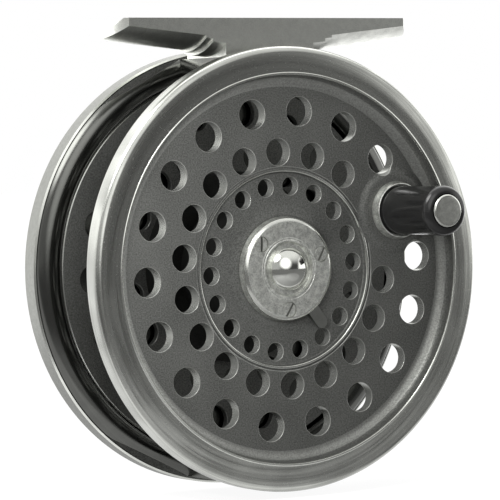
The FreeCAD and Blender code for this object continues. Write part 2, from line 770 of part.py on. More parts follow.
def latch_lever():
    """Flat lever: an eye that catches the spindle's groove, a pivot above and a tongue below."""
    body = new_body("Latch_lever")
    disc(body, "Eye", "latch_offset", "0", "5.2", "latch_front", "latch_thick")
    pad(body, "Neck", [
        ("-1.4", "4"),
        ("1.6", "4"),
        ("1.3", "pivot_height"),
        ("-1.3", "pivot_height"),
    ], "latch_front", "latch_thick")
    disc(body, "Pivot_boss", "0", "pivot_height", "1.6", "latch_front", "latch_thick")
    end = "latch_reach - latch_half"
    pad(body, "Tongue", [
        polar("4.2", "latch_angle", "-latch_half"),
        polar(end, "latch_angle", "-latch_half"),
        polar(end, "latch_angle", "latch_half"),
        polar("4.2", "latch_angle", "latch_half"),
    ], "latch_front", "latch_thick")
    disc(body, "Tongue_end", *polar(end, "latch_angle"), "latch_half", "latch_front", "latch_thick")
    bore(body, "Eye_hole", "latch_offset", "0", "3.4", "-5", "10")
    bore(body, "Pivot_bore", "0", "pivot_height", "0.75", "-5", "10")
    return hand_in(body, "latch_lever")


def latch_pivot():
    pin = cylinder("Latch_pin", "0.7", "-1.1", "1.8", "0", "pivot_height")
    return hand_in(group("Latch_pivot", [pin]), "latch_pivot")


def latch_spring():
    """Bent leaf between the cap and the lever's eye."""
    body = new_body("Latch_spring")
    pad(body, "Leaf", [
        ("-6.05", "-1.3"),
        ("-5.75", "-1.3"),
        ("-4.55", "0"),
        ("-5.75", "1.3"),
        ("-6.05", "1.3"),
        ("-4.9", "0"),
    ], "latch_front + 0.05", "latch_thick - 0.1")
    return hand_in(body, "latch_spring")


# ---------------------------------------------------------------- handle


def hand_in_handle(body, label):
    """As hand_in, moved on from the spool's axis to the handle's."""
    hand_in(body, label)
    x, z = handle_place()
    bind(body, Placement__Base__x=x, Placement__Base__z="%s - foot_top" % z)
    return body


def handle_ferrule():
    body = new_body("Ferrule")
    turn(body, "Cup", [
        ("pin_radius", "-boss_height"),
        ("grip_radius + 0.85", "-boss_height"),
        ("grip_radius + 0.85", "-boss_height - 0.6"),
        ("grip_radius + 0.55", "-boss_height - 2.3"),
        ("grip_radius + 0.2", "-boss_height - 2.3"),
        ("grip_radius + 0.2", "-boss_height - 0.9"),
        ("pin_radius", "-boss_height - 0.9"),
    ])
    return hand_in_handle(body, "handle_ferrule")


def handle_grip():
    body = new_body("Grip")
    back = "-boss_height - 1"
    bore_radius = "pin_radius + 0.05"
    turn(body, "Barrel", [
        (bore_radius, back),
        ("grip_radius", back),
        ("grip_waist", "-grip_front / 2"),
        ("grip_radius", "2.4 - grip_front"),
        ("grip_radius", "1.2 - grip_front", "1.2", False),
        ("grip_radius - 1.2", "-grip_front"),
        ("pin_head + 0.12", "-grip_front"),
        ("pin_head + 0.12", "0.7 - grip_front"),
        (bore_radius, "0.7 - grip_front"),
    ])
    return hand_in_handle(body, "handle_grip")


def handle_pin():
    """Pin riveted through the web, with a broad head that keeps the grip on."""
    body = new_body("Pin")
    turn(body, "Rivet", [
        ("0", "web_outer - 0.1"),
        ("pin_radius", "web_outer - 0.1"),
        ("pin_radius", "0.6 - grip_front"),
        ("pin_head", "0.6 - grip_front"),
        ("pin_head", "-grip_front - 0.15"),
        ("pin_head - 0.25", "-grip_front - 0.4"),
        ("0", "-grip_front - 0.4"),
    ])
    return hand_in_handle(body, "handle_pin")


# ---------------------------------------------------------------- click


def click_plate():
    body = new_body("Click_plate")
    turn(body, "Plate", [
        ("spindle_foot + 0.3", "plate_front"),
        ("plate_radius", "plate_front"),
        ("plate_radius", "floor_level"),
        ("spindle_foot + 0.3", "floor_level"),
    ])
    bore(body, "Regulator_clearance", "0", "knob_height", "2.1", "20", "10")
    hole = bore(body, "Plate_screw_hole", *PLATE_SCREWS, "0.77", "20", "10")
    pattern(body, hole, "Plate_screw_holes", "3", "360")
    for i, (x, z) in enumerate(post_places()):
        bore(body, "Post_hole_%d" % i, x, z, "post_radius", "20", "10")
    return hand_in(body, "click_plate")


def post_places():
    return [("%d * pawl_x" % side, "pawl_z") for side in (-1, 1)] + [
        ("%d * spring_x" % side, "spring_z") for side in (-1, 1)]


def click_posts():
    posts = [cylinder("Click_post_%d" % i, "post_radius", "cup_front + cup_floor + 0.25",
                      "floor_level", x, z) for i, (x, z) in enumerate(post_places())]
    return hand_in(group("Click_posts", posts), "click_posts")


def click_plate_screws():
    screws = []
    for i in range(3):
        x, z = polar("15.3", str(60 - 120 * i))
        screws.append(slotted_screw("Plate_screw_%d" % i, "1.2", "0.7", "0.73", "3.2", FRONT, 40 * i,
                                    x, "plate_front - 0.7", z))
    return hand_in(group("Plate_screws", screws), "click_plate_screws")


def pawl(side, label):
    """Wedge-nosed click lever; side is -1 on the left and 1 on the right."""
    body = new_body(label.capitalize())
    disc(body, "Boss", "%d * pawl_x" % side, "pawl_z", "2.1", "pawl_front", "pawl_thick")
    pad(body, "Arm", [("%d * (%s)" % (side, x), z) for x, z in (
        ("gear_root + 0.15", "0"),
        ("gear_root + 1.4", "1.05"),
        ("pawl_x - 1.9", "pawl_z - 0.8"),
        ("pawl_x + 1.7", "pawl_z - 0.8"),
        ("gear_root + 3.7", "-0.6"),
        ("gear_root + 1.4", "-1.05"))], "pawl_front", "pawl_thick")
    bore(body, "Post_bore", "%d * pawl_x" % side, "pawl_z", "post_radius + 0.05", "20", "10")
    return hand_in(body, label)


def pawl_spring(side, label):
    """Leaf spring coiled once round its post, bearing on the pawl and on the regulator's cam."""
    body = new_body(label.capitalize())
    front, depth = "pawl_front + 0.2", "pawl_thick - 0.4"
    disc(body, "Coil", "%d * spring_x" % side, "spring_z", "post_radius + 0.4", front, depth)
    pad(body, "Leaf", [("%d * (%s)" % (side, x), z) for x, z in (
        ("spring_x + 1.1", "spring_z"),
        ("pawl_x + 0.12", "0.5"),
        ("pawl_x + 0.42", "0.5"),
        ("spring_x + 1.4", "spring_z"))], front, depth)
    pad(body, "Leg", [("%d * (%s)" % (side, x), z) for x, z in (
        ("spring_x", "spring_z - 1.1"),
        ("cam_reach + 0.3", "knob_height + 0.6"),
        ("cam_reach + 0.3", "knob_height + 0.3"),
        ("spring_x", "spring_z - 1.4"))], front, depth)
    bore(body, "Coil_bore", "%d * spring_x" % side, "spring_z", "post_radius + 0.05", "20", "10")
    return hand_in(body, label)


def regulator_shaft():
    """Shaft through the back plate with an oval cam between the pawl springs."""
    shaft = cylinder("Regulator_stem", "2", "pawl_front + pawl_thick", "frame_back + knob_depth - 0.4",
                     "0", "knob_height")
    cam = block("Regulator_bar", "-cam_reach + 1", "pawl_front", "knob_height - 1.3",
                "2 * cam_reach - 2", "pawl_thick", "2.6")
    ends = [cylinder("Cam_end_%d" % (side + 1), "1", "pawl_front", "pawl_front + pawl_thick",
                     "%d * (cam_reach - 1)" % side, "knob_height") for side in (-1, 1)]
    return hand_in(join("Regulator_shaft", shaft, cam, *ends), "regulator_shaft")


def regulator_knob():
    body = new_body("Knob")
    front, back = "frame_back - 0.4", "frame_back - 0.4 + knob_depth"
    turn(body, "Knob_disc", [
        ("2", front),
        ("knob_radius", front),
        ("knob_radius", back + " - 0.5"),
        ("knob_radius - 0.5", back),
        ("2", back),
    ])
    flute = bore(body, "Flute", "knob_radius + 0.6", "0", "0.9", front + " + 0.6", "6")
    pattern(body, flute, "Flutes", "12", "360")
    hand_in(body, "regulator_knob")
    bind(body, Placement__Base__z="knob_height - foot_top")
    return body


# ---------------------------------------------------------------- the whole reel


def build():
    frame()
    foot()
    foot_screws()
    spindle()
    spindle_screw()
    spool_face()
    spool_drum()
    gear_cup()
    rear_flange()
    spool_bush()
    ratchet_wheel()
    ratchet_screws()
    hub_cap()
    cap_screws()
    hub_dome()
    latch_lever()
    latch_pivot()
    latch_spring()
    handle_ferrule()
    handle_grip()
    handle_pin()
    click_plate()
    click_posts()
    click_plate_screws()
    for side, word in ((-1, "left"), (1, "right")):
        pawl(side, "pawl_" + word)
        pawl_spring(side, "pawl_spring_" + word)
    regulator_shaft()
    regulator_knob()


def check():
    """A recompute can leave a failed object behind without raising."""
    bad = [o.Name for o in doc.Objects if {"Invalid", "Error"} & set(o.State)]
    bad += [p.Label for p in PARTS if p.Shape.isNull() or not p.Shape.isValid()]
    if bad:
        raise RuntimeError("failed: " + ", ".join(bad))


def export():
    os.makedirs("parts", exist_ok=True)
    for piece in PARTS:
        piece.Shape.exportStep("parts/%s.step" % piece.Label)


build()
doc.recompute()
check()
export()
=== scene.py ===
"""Fly reel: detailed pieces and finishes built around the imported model."""
import json
import math

import bmesh
import bpy
from mathutils import Matrix, Vector


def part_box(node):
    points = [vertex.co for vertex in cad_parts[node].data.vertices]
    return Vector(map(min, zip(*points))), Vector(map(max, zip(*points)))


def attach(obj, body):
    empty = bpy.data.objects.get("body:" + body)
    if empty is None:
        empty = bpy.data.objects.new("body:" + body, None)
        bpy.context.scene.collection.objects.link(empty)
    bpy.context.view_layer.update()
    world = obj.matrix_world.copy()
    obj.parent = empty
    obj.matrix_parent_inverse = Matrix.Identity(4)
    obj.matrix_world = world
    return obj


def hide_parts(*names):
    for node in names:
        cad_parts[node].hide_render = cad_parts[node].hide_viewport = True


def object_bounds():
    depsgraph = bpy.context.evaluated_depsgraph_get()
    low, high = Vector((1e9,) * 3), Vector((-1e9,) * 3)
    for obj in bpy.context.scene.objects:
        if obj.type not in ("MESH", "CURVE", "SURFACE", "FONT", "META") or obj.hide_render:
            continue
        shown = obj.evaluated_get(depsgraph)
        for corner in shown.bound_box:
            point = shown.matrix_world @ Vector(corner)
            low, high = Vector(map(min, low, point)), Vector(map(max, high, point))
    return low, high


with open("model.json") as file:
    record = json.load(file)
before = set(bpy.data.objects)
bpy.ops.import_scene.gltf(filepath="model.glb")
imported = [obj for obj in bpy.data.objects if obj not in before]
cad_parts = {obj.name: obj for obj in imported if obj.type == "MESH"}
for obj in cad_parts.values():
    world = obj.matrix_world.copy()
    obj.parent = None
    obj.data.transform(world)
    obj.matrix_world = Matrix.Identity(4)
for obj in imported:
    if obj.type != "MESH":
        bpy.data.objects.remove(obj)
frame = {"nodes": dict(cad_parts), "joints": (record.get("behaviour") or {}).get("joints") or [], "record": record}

CAD_LOW, CAD_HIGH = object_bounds()
MM = 0.001

# Driving sizes in millimetres.  Radii are from the spool's axis.  Depths run from the perforated face
# to the back, so what stands in front of that face is negative.  Heights are above the axis.
RIM_RADIUS, RIM_FRONT = 46.0, 3.2
RIM_ROUND = 1.6             # the rim's outer corner
RIM_FLAT = 42.0             # radius where the rim's face begins to fall away
RIM_FALL = 0.0404           # how fast it does, per square millimetre
LIP_RADIUS = 40.0           # inner edge of the rim
BEAD_ROUND = 0.33           # bead along the lip
BEAD_PROUD = 0.15           # how far it stands in front of the rim
COVE_ROUND = 2.35           # hollow between web and lip
RECESS_DEPTH = 0.93         # sunk middle of the web
STEP_ROUND = 0.25           # both edges of the step into that middle
CAP_SEAT = 0.55             # level on which the hub's cap lies
HUB_BORE, HUB_BACK = 4.6, 3.3
FLANGE_FRONT, FLANGE_BACK = 22.9, 24.4  # perforated disc behind the line
CAP_SCREW_CIRCLE = 8.4      # radius on which the cap's screws stand
LATCH_ANGLE = -53.0         # direction of the latch's tongue, in degrees
PIVOT_HEIGHT = 6.5          # of the latch
COLLAR_FRONT = -0.6         # face of the handle's boss
FRAME_STEP, FRAME_BACK = 23.7, 28.3     # front and back of the frame's outer band
PLATE_FRONT = 25.3          # inner face of the back plate
SADDLE_HALF, SADDLE_TOP = 10.7, 44.0
FOOT_TOP = 52.0
FOOT_MIDDLE = 12.25         # depth of the foot's middle line
FOOT_HALF_LENGTH, FOOT_HALF_WIDTH = 36.3, 8.0
FOOT_END_ROUND = 12.2
FOOT_BLOCK = 10.6           # half length of the foot's centre block
ARM_SLOPE = math.radians(6.0)
ARM_DEPTH = 4.2             # at the arm's end
KEEL_RADIUS = 12.7          # underside of the arms
TROUGH_RADIUS, TROUGH_DEPTH = 10.5, 2.75  # hollow for the rod
FOOT_SCREW_X = 5.5


def joint_place(name):
    """Where the joint is, in metres."""
    return Vector(next(j for j in frame["joints"] if j["name"] == name)["pos_m"])


AXIS = joint_place("spool_spin")
ORIGIN = Vector((AXIS.x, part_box("spool_face")[0].y + RIM_FRONT * MM, AXIS.z))

# ---------------------------------------------------------------- materials


class Nodes:
    """Short way to build a material's node tree."""

    def __init__(self, name):
        self.material = bpy.data.materials.new(name)
        self.material.use_nodes = True
        self.tree = self.material.node_tree
        self.shader = self.tree.nodes["Principled BSDF"]

    def add(self, kind, inputs=(), **settings):
        node = self.tree.nodes.new(kind)
        for key, value in settings.items():
            setattr(node, key, value)
        for key, value in dict(inputs).items():
            self.put(node, key, value)
        return node

    def put(self, node, key, value):
        if isinstance(value, bpy.types.NodeSocket):
            self.tree.links.new(value, node.inputs[key])
        else:
            node.inputs[key].default_value = value

    def math(self, operation, a, b=0.0):
        return self.add("ShaderNodeMath", {0: a, 1: b}, operation=operation).outputs[0]

    def ramp(self, value, low, high, start=0.0, end=1.0):
        node = self.add("ShaderNodeMapRange", {0: value, 1: low, 2: high, 3: start, 4: end},
                        interpolation_type="SMOOTHSTEP")
        return node.outputs[0]

    def mix(self, factor, a, b):
        node = self.add("ShaderNodeMix", data_type="RGBA")
        self.put(node, 0, factor)
        self.put(node, 6, a)
        self.put(node, 7, b)
        return node.outputs[2]

    def noise(self, vector, scale, detail, rough):
        node = self.add("ShaderNodeTexNoise", {"Vector": vector, "Scale": scale, "Detail": detail,
                                               "Roughness": rough})
        return node.outputs["Fac"]

    def bump(self, height, strength, distance):
        node = self.add("ShaderNodeBump", {"Height": height, "Strength": strength,
                                           "Distance": distance * MM})
        return node.outputs[0]

    def finish(self, **sockets):
        for key, value in sockets.items():
            self.put(self.shader, key.replace("_", " "), value)
        return self.material


def reel_coordinates(n):
    """Position from the spool's axis, in millimetres: (vector, radius, y)."""
    place = n.add("ShaderNodeTexCoord").outputs["Object"]
    moved = n.add("ShaderNodeVectorMath", {0: place, 1: ORIGIN}, operation="SUBTRACT").outputs[0]
    node = n.add("ShaderNodeVectorMath", {0: moved, "Scale": 1 / MM}, operation="SCALE")
    split = n.add("ShaderNodeSeparateXYZ", {0: node.outputs[0]})
    x, y, z = split.outputs
    radius = n.math("SQRT", n.math("ADD", n.math("MULTIPLY", x, x), n.math("MULTIPLY", z, z)))
    return node.outputs[0], radius, y


def grey(value):
    """Grey with the faint warm green of aluminium under studio light."""
    return (value * 0.985, value, value * 0.945, 1.0)


def metal(name, low, high, rough, grain=6.0, rings=0.0, relief=0.15, blotch=0.25, metallic=1.0):
    """Metal with fine grain, blotches and, if rings is set, turning marks round the axis."""
    n = Nodes(name)
    position, radius, y = reel_coordinates(n)
    fine = n.noise(position, grain, 3.0, 0.6)
    broad = n.noise(position, blotch, 3.0, 0.6)
    height = fine
    tone = n.math("ADD", n.math("MULTIPLY", fine, 0.45), n.math("MULTIPLY", broad, 0.55))
    if rings:
        marks = n.add("ShaderNodeCombineXYZ", {0: n.math("MULTIPLY", radius, rings),
                                               1: n.math("MULTIPLY", y, rings)}).outputs[0]
        turned = n.noise(marks, 1.0, 3.0, 0.65)
        tone = n.math("ADD", n.math("MULTIPLY", tone, 0.5), n.math("MULTIPLY", turned, 0.5))
        height = n.math("ADD", n.math("MULTIPLY", fine, 0.4), turned)
    colour = n.mix(n.ramp(tone, 0.3, 0.7), grey(low), grey(high))
    roughness = n.ramp(tone, 0.25, 0.75, rough * 1.15, rough * 0.85)
    return n.finish(Base_Color=colour, Metallic=metallic, Roughness=roughness,
                    Normal=n.bump(height, relief, 0.02))


def rim_metal():
    """Polished rim: buffed bands of differing tone, fine round marks and small scuffs."""
    n = Nodes("rim_polished")
    position, radius, _ = reel_coordinates(n)
    marks = n.add("ShaderNodeCombineXYZ", {0: n.math("MULTIPLY", radius, 6.0)}).outputs[0]
    turned = n.noise(marks, 1.0, 3.0, 0.7)
    stretched = n.add("ShaderNodeVectorMath", {0: position, "Scale": 0.05},
                      operation="SCALE").outputs[0]
    bands = n.add("ShaderNodeCombineXYZ", {0: n.math("MULTIPLY", radius, 1.3), 1: 7.3}).outputs[0]
    drift = n.add("ShaderNodeVectorMath", {0: bands, 1: stretched}, operation="ADD").outputs[0]
    broad = n.noise(drift, 1.0, 2.0, 0.55)
    scuffs = n.ramp(n.noise(position, 1.6, 6.0, 0.8), 0.60, 0.72)
    cloudy = n.noise(position, 0.12, 2.0, 0.5)
    tone = n.math("ADD", n.math("MULTIPLY", broad, 0.65), n.math("MULTIPLY", turned, 0.35))
    tone = n.math("ADD", n.math("MULTIPLY", tone, 0.8), n.math("MULTIPLY", cloudy, 0.2))
    colour = n.mix(n.ramp(tone, 0.38, 0.60), grey(0.38), grey(0.70))
    colour = n.mix(n.math("MULTIPLY", scuffs, 0.3), colour, grey(0.80))
    roughness = n.ramp(tone, 0.3, 0.7, 0.30, 0.20)
    roughness = n.math("ADD", roughness, n.math("MULTIPLY", scuffs, 0.15))
    height = n.math("ADD", turned, n.math("MULTIPLY", broad, 1.5))
    return n.finish(Base_Color=colour, Metallic=1.0, Roughness=roughness,
                    Normal=n.bump(height, 0.16, 0.02))


def web_metal(name, low, high):
    """Dark satin anodising with a fine sandy grain."""
    n = Nodes(name)
    position, _, _ = reel_coordinates(n)
    sand = n.noise(position, 3.4, 4.0, 0.75)
    broad = n.noise(position, 0.08, 2.0, 0.5)
    tone = n.math("ADD", n.math("MULTIPLY", sand, 0.85), n.math("MULTIPLY", broad, 0.15))
    colour = n.mix(n.ramp(tone, 0.36, 0.64), grey(low), grey(high))
    return n.finish(Base_Color=colour, Metallic=0.9, Roughness=n.ramp(sand, 0.3, 0.7, 0.48, 0.36),
                    Specular_IOR_Level=0.3, Normal=n.bump(sand, 0.35, 0.02))


def grip_plastic():
    """Gloss black grip with faint polishing haze."""
    n = Nodes("grip_black")
    position, _, _ = reel_coordinates(n)
    haze = n.noise(position, 1.3, 5.0, 0.7)
    colour = n.mix(haze, (0.002, 0.002, 0.002, 1), (0.005, 0.005, 0.005, 1))
    return n.finish(Base_Color=colour, Roughness=n.ramp(haze, 0.35, 0.7, 0.16, 0.26),
                    Specular_IOR_Level=0.6, Normal=n.bump(haze, 0.04, 0.02))


WEB = web_metal("web_dark", 0.08, 0.185)
# Lighter copy of the web's anodising for the cove: a painted highlight along the hollow between web and lip.
COVE_PAINTED_HIGHLIGHT = web_metal("web_cove_painted_highlight", 0.16, 0.28)
RIM = rim_metal()
# Light metal on chamfers, beads and edges: partly the edges' own bare polish, partly a painted highlight for the
# glints along them.
EDGE_AND_GLINT = metal("bright_edge_and_glint", 0.75, 0.92, 0.18, relief=0.03)
WALL = metal("hole_wall", 0.45, 0.62, 0.28, grain=2.5, relief=0.06, metallic=0.93)
# Lighter metal on the holes' chamfers and the groove's edge: partly their own lighter tone, partly a painted
# highlight along those edges.
BARE_CHAMFER_AND_SHEEN = metal("bare_chamfer_and_sheen", 0.25, 0.45, 0.34, relief=0.05, metallic=0.9)
FRAME_ALLOY = metal("frame_satin", 0.12, 0.16, 0.20, grain=5.0, rings=3.0, relief=0.12)
BAND = metal("frame_band", 0.27, 0.31, 0.42, grain=4.0, relief=0.2, blotch=1.2)
FINISH = {
    "frame_satin": FRAME_ALLOY,
    "foot_satin": metal("foot_satin", 0.66, 0.92, 0.33, grain=4.0, relief=0.3, blotch=0.5),
    "screw_steel": metal("screw_steel", 0.45, 0.62, 0.30),
    "spindle_steel": metal("spindle_steel", 0.24, 0.33, 0.38, grain=8.0),
    "spring_steel": metal("spring_steel", 0.30, 0.42, 0.30),
    "plate_alloy": metal("plate_alloy", 0.38, 0.76, 0.36, blotch=0.8),
    "spool_dark": WEB,
    "bush_brass": metal("bush_brass", 0.45, 0.6, 0.3),
    "cap_alloy": metal("cap_alloy", 0.42, 0.98, 0.34, grain=4.0, relief=0.8, blotch=0.9,
                       metallic=0.97),
    "dome_chrome": metal("dome_chrome", 0.80, 0.92, 0.11, relief=0.02),
    "grip_black": grip_plastic(),
}
# Darker copy for the two parts deep inside the spool: painted shade for the little light that reaches them.
INSIDE_PAINTED_SHADE = metal("spool_inside_painted_shade", 0.03, 0.06, 0.5, relief=0.2)


def dress_nodes():
    """Give every CAD node the finish of its slot; the two that lie deep inside get a darker copy, painted shade
    for the dark inside the spool.
    """
    for part in frame["record"]["subparts"]:
        materials = frame["nodes"][part["node"]].data.materials
        materials.clear()
        deep = part["node"] in ("spool_drum", "gear_cup")
        materials.append(INSIDE_PAINTED_SHADE if deep else FINISH[part["material_slot"]])


dress_nodes()

# ---------------------------------------------------------------- mesh tools, in millimetres from the
# spool's axis: X right, Y from the perforated face to the back, Z up

SHARP_ANGLE = 32            # degrees; edges that turn more stay sharp
MOST_MATERIALS = 6          # on any one piece
FIRST, SECOND = 0, 1        # material numbers of a piece that has two


def add_object(name, data):
    thing = bpy.data.objects.new(name, data)
    bpy.context.scene.collection.objects.link(thing)
    return thing


def arc(r, y, radius, start, end, steps):
    """Points (r, y) along an arc; 0 degrees points outwards and 90 to the back."""
    points = []
    for i in range(steps + 1):
        a = math.radians(start + (end - start) * i / steps)
        points.append((r + radius * math.cos(a), y + radius * math.sin(a)))
    return points


def arc_through(start, end, radius, steps):
    """Arc from start to end that bulges to the front."""
    a, b = Vector(start), Vector(end)
    chord = b - a
    back = Vector((-chord.y, chord.x)).normalized()
    if back.y < 0:
        back.negate()
    centre = (a + b) / 2 + back * math.sqrt(radius ** 2 - (chord.length / 2) ** 2)
    first = math.atan2(a.y - centre.y, a.x - centre.x)
    last = math.atan2(b.y - centre.y, b.x - centre.x)
    if last - first > math.pi:
        last -= 2 * math.pi
    if first - last > math.pi:
        last += 2 * math.pi
    return arc(centre.x, centre.y, radius, math.degrees(first), math.degrees(last), steps)


def outline(*runs):
    """Join runs of (points, material number) into a profile and a number for each step."""
    points, numbers = [], []
    for run, number in runs:
        points += run
        numbers += [number] * len(run)
    return points, numbers


def lathe(profile, segments, x=0.0, z=0.0, indices=None):
    """Closed outline of (radius, y) turned about a line along Y; radius 0 makes a pole."""
    bm = bmesh.new()
    rings = []
    for r, y in profile:
        if r < 1e-6:
            rings.append([bm.verts.new((x, y, z))] * segments)
            continue
        angles = [2 * math.pi * i / segments for i in range(segments)]
        rings.append([bm.verts.new((x + r * math.cos(a), y, z + r * math.sin(a))) for a in angles])
    for k, ring in enumerate(rings):
        after = rings[(k + 1) % len(rings)]
        for i in range(segments):
            j = (i + 1) % segments
            corners = []
            for vert in (ring[i], ring[j], after[j], after[i]):
                if vert not in corners:
                    corners.append(vert)
            if len(corners) > 2:
                face = bm.faces.new(corners)
                face.material_index = indices[k] if indices else 0
    bmesh.ops.recalc_face_normals(bm, faces=bm.faces)
    return bm


def prism(points, low, high, axis="Y", index=FIRST):
    """Outline swept along Y (points are x, z) or along Z (points are x, y)."""
    bm = bmesh.new()
    ends = [[bm.verts.new((u, level, v) if axis == "Y" else (u, v, level)) for u, v in points]
            for level in (low, high)]
    bm.faces.new(ends[0])
    bm.faces.new(list(reversed(ends[1])))
    for i in range(len(points)):
        j = (i + 1) % len(points)
        bm.faces.new((ends[0][i], ends[0][j], ends[1][j], ends[1][i]))
    for face in bm.faces:
        face.material_index = index
    bmesh.ops.recalc_face_normals(bm, faces=bm.faces)
    return bm


def merged(*meshes):
    """Several separate shapes in one mesh."""
    whole = bmesh.new()
    for bm in meshes:
        mesh = bpy.data.meshes.new("part")
        bm.to_mesh(mesh)
        whole.from_mesh(mesh)
        bpy.data.meshes.remove(mesh)
    return whole


def combine(base, tool, operation):
    """Boolean of two shapes.  Faces keep their material numbers."""
    objects = []
    for bm in (base, tool):
        mesh = bpy.data.meshes.new("boolean")
        bm.to_mesh(mesh)
        for _ in range(MOST_MATERIALS):
            mesh.materials.append(WEB)
        objects.append(add_object("boolean", mesh))
    change = objects[0].modifiers.new("boolean", "BOOLEAN")
    change.operation = operation
    change.solver = "EXACT"
    change.object = objects[1]
    graph = bpy.context.evaluated_depsgraph_get()
    result = bpy.data.meshes.new_from_object(objects[0].evaluated_get(graph))
    bm = bmesh.new()
    bm.from_mesh(result)
    for thing in objects:
        mesh = thing.data
        bpy.data.objects.remove(thing)
        bpy.data.meshes.remove(mesh)
    bpy.data.meshes.remove(result)
    return bm


def piece(name, bm, body, materials, nodes, bevel=0.0):
    """Finish a shape: place it, shade it, and let it ride on its body in place of the CAD nodes."""
    bmesh.ops.scale(bm, vec=(MM, MM, MM), verts=bm.verts)
    bmesh.ops.translate(bm, vec=ORIGIN, verts=bm.verts)
    mesh = bpy.data.meshes.new(name)
    bm.to_mesh(mesh)
    for material in materials:
        mesh.materials.append(material)
    mesh.shade_smooth()
    mesh.set_sharp_from_angle(angle=math.radians(SHARP_ANGLE))
    thing = add_object(name, mesh)
    if bevel:
        rounding = thing.modifiers.new("bevel", "BEVEL")
        rounding.width = bevel * MM
        rounding.segments = 2
        rounding.limit_method = "ANGLE"
        rounding.angle_limit = math.radians(35)
        # Bevel faces take the last material, the light edge metal that partly paints in edge highlights.
        rounding.material = len(materials) - 1
        rounding.harden_normals = True
    else:
        weights = thing.modifiers.new("weights", "WEIGHTED_NORMAL")
        weights.keep_sharp = True
    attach(thing, body)
    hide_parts(*nodes)


def around(radius, angle, aside=0.0):
    """x and z at a radius and angle, with a step aside clockwise as seen from the front."""
    a = math.radians(angle)
    return radius * math.cos(a) + aside * math.sin(a), radius * math.sin(a) - aside * math.cos(a)


# ---------------------------------------------------------------- spool

HANDLE = (joint_place("grip_spin") - ORIGIN) / MM
HOLE_PITCH = 20             # degrees, in every ring
RINGS = (  # ring radius, hole radius, angle of the first hole, holes, depth of the face
    (32.75, 3.08, 2.755, 17, 0.0),
    (24.2, 2.83, -7.22, 16, 0.0),
    (17.24, 1.885, 2.8, 18, RECESS_DEPTH),
)

# Material numbers of the spool's face
PLAIN, POLISHED, BRIGHT, BORE, HOLE_EDGE, HOLLOW = range(MOST_MATERIALS)
# Of these, the cove's lighter finish and the light edge and chamfer metals paint in highlights on the HOLLOW,
# BRIGHT and HOLE_EDGE faces.
SPOOL_MATERIALS = (WEB, RIM, EDGE_AND_GLINT, WALL, BARE_CHAMFER_AND_SHEEN, COVE_PAINTED_HIGHLIGHT)


def drills(rings, back, chamfer):
    """Cutters for rings of holes, each flared where it meets the front face."""
    tools = []
    for ring, radius, first, count, face in rings:
        profile = [(0, face - 0.5), (radius + chamfer + 0.5, face - 0.5), (radius, face + chamfer),
                   (radius, back), (0, back)]
        numbers = (HOLE_EDGE, HOLE_EDGE, BORE, BORE, BORE)
        for i in range(count):
            x, z = around(ring, first - HOLE_PITCH * i)
            tools.append(lathe(profile, 56, x, z, indices=numbers))
    return merged(*tools)


def spool_profile():
    """Half section of the spool's front, outwards along its face and back along its inside."""
    begin = 0.50            # depth at which the recess begins beside the cap
    middle = [(HUB_BORE, CAP_SEAT), (11.2, CAP_SEAT)]
    for i in range(11):
        rise = 1 - (1 - i / 10) ** 2.2
        middle.append((11.3 + 3.9 * i / 10, begin + (RECESS_DEPTH - begin) * rise))
    middle += arc(19.7, RECESS_DEPTH - STEP_ROUND, STEP_ROUND, 90, 10, 4)
    step = arc(20.35, STEP_ROUND, STEP_ROUND, 180, 270, 5)
    groove = [(20.6, 0.0), (20.75, 0.06), (20.78, 0.25), (21.07, 0.25)]
    groove_edge = [(21.1, 0.06)]
    web = [(21.2, 0.0), (37.5, 0.0)]
    cove = (LIP_RADIUS - COVE_ROUND, -COVE_ROUND, COVE_ROUND)
    bead = (LIP_RADIUS + BEAD_ROUND, BEAD_ROUND - BEAD_PROUD - RIM_FRONT, BEAD_ROUND)
    rim = [(r, -RIM_FRONT + RIM_FALL * max(r - RIM_FLAT, 0) ** 2)
           for r in (40.7, 41.5, 42, 42.5, 43, 43.5, 44)]
    rim += arc(RIM_RADIUS - RIM_ROUND, -1.334, RIM_ROUND, -77.5, 0, 12)
    rim += [(RIM_RADIUS, 0.2), (RIM_RADIUS - 0.03, 0.26), (RIM_RADIUS, 0.32), (RIM_RADIUS, 1.1)]
    inside = [(45.85, 1.3), (44.95, 1.3), (44.8, 1.15), (44.8, -1.4), (41.7, -1.4), (41.7, 1.6),
              (37.25, 2.3), (13.5, HUB_BACK), (HUB_BORE, HUB_BACK)]
    # Painted highlights: the step, the front of the bead and the groove's edge take light metal, and the cove a
    # lighter copy of the web's anodising.
    return outline(
        (middle, PLAIN), (step, BRIGHT), (groove, PLAIN), (groove_edge, HOLE_EDGE), (web, PLAIN),
        (arc(*cove, 90, 42, 7), HOLLOW), (arc(*cove, 36, 0, 6), PLAIN),
        (arc(*bead, 180, 255, 6), POLISHED), (arc(*bead, 263, 325, 6), BRIGHT),
        (rim, POLISHED), (inside, PLAIN))


def spool_face():
    """Perforated web, polished rim and handle boss in one piece."""
    profile, numbers = spool_profile()
    disc = lathe(profile, 288, indices=numbers)
    boss = [(0.0, 0.8), (0.0, COLLAR_FRONT), (6.9, COLLAR_FRONT)]
    boss += [(7.05 + 2.5 * t / 8, -0.58 + 0.61 * (t / 8) ** 2 * (3 - t / 4)) for t in range(9)]
    boss += [(9.55, 0.8)]
    disc = combine(disc, lathe(boss, 72, HANDLE.x, HANDLE.z), "UNION")
    disc = combine(disc, drills(RINGS, back=6.0, chamfer=0.09), "DIFFERENCE")
    piece("spool_web", disc, "spool", SPOOL_MATERIALS, ("spool_face",))


